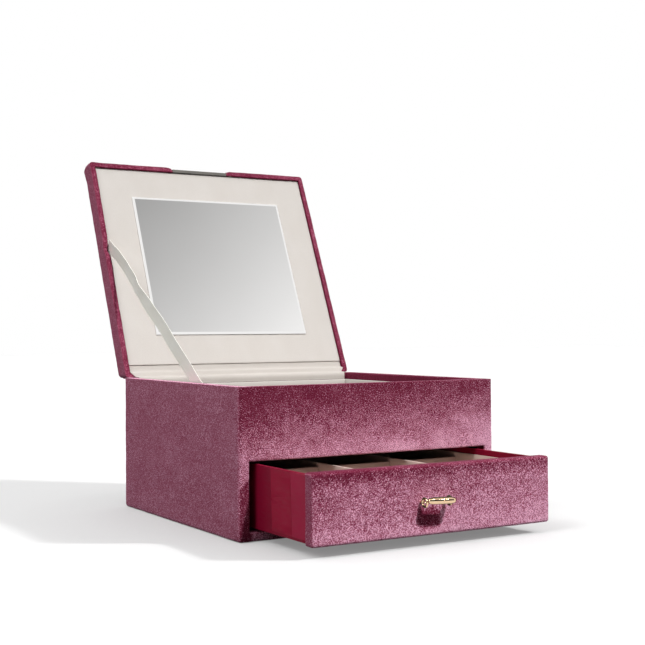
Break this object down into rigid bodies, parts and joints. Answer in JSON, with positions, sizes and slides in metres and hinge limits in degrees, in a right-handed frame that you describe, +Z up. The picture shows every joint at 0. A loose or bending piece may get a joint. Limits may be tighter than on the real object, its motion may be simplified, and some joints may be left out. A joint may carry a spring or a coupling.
{
  "type": "jewelry box",
  "caption": "Velvet jewelry box with a mirrored flip-up lid on a ribbon stay, a lined upper tray and a compartmented pull-out drawer with a small bail handle.",
  "frame": {"origin": "middle of the case's underside", "axes": "+X to the box's right as it faces you, -Y to its front, +Z up"},
  "size_m": [0.26, 0.471, 0.3511],
  "materials": {
    "velvet": "crushed pile, dusty rose",
    "greyboard": "raw board, all covered",
    "base_paper": "dark paper under the base",
    "black_paper": "dark paper lining",
    "crimson_paper": "embossed covering paper",
    "beige_suede": "fine suede-like cloth",
    "foam": "soft foam, all covered",
    "mirror_glass": "silvered glass, bevelled",
    "keeper_steel": "dark grey",
    "magnet": "plated",
    "ribbon": "satin ribbon",
    "gold_metal": "polished, light gold"
  },
  "bodies": {
    "case": {"base_board": "base_paper", "left_wall": "greyboard", "right_wall": "greyboard", "back_wall": "greyboard", "upper_front_panel": "greyboard", "case_velvet": "velvet", "bay_floor": "black_paper", "bay_left_guide": "black_paper", "bay_right_guide": "black_paper", "bay_back_lining": "black_paper", "middle_shelf": "black_paper", "tray_floor_pad": "beige_suede", "tray_left_lining": "beige_suede", "tray_right_lining": "beige_suede", "tray_front_lining": "beige_suede", "tray_back_lining": "beige_suede", "tray_cross_divider": "beige_suede", "tray_left_divider": "beige_suede", "tray_right_divider": "beige_suede", "ring_bed": "foam", "ring_rolls": "beige_suede", "closure_magnets": "magnet", "hinge_spine": "velvet", "hinge_lining": "beige_suede", "ribbon_stay": "ribbon"},
    "lid": {"lid_board": "greyboard", "lid_left_rail": "greyboard", "lid_right_rail": "greyboard", "lid_front_rail": "greyboard", "lid_back_rail": "greyboard", "lid_filler": "foam", "lid_lining": "beige_suede", "mirror": "mirror_glass", "keeper_bar": "keeper_steel", "lid_velvet": "velvet"},
    "drawer": {"drawer_front_board": "greyboard", "drawer_front_velvet": "velvet", "drawer_inner_front": "crimson_paper", "drawer_left_side": "crimson_paper", "drawer_right_side": "crimson_paper", "drawer_back": "crimson_paper", "drawer_bottom": "crimson_paper", "drawer_left_lining": "beige_suede", "drawer_right_lining": "beige_suede", "drawer_front_lining": "beige_suede", "drawer_back_lining": "beige_suede", "drawer_floor_pad": "beige_suede", "drawer_left_divider": "beige_suede", "drawer_right_divider": "beige_suede", "drawer_cross_divider": "beige_suede", "bail_eyes": "gold_metal", "eye_nuts": "gold_metal"},
    "bail": {"bail": "gold_metal"}
  },
  "joints": [
    {"name": "lid_hinge", "type": "hinge", "parent": "case", "child": "lid", "pos_m": [0, 0.124, 0.1264], "axis": [1, 0, 0], "range_deg": [0, 114], "deforming": ["hinge_spine", "hinge_lining", "ribbon_stay"]},
    {"name": "drawer_slide", "type": "slide", "parent": "case", "child": "drawer", "axis": [0, -1, 0], "range_m": [-0.093, 0.09]},
    {"name": "bail_swing", "type": "hinge", "parent": "drawer", "child": "bail", "pos_m": [-0.0039, -0.2214, 0.0357], "axis": [1, 0, 0], "range_deg": [-90, 120]}
  ]
}
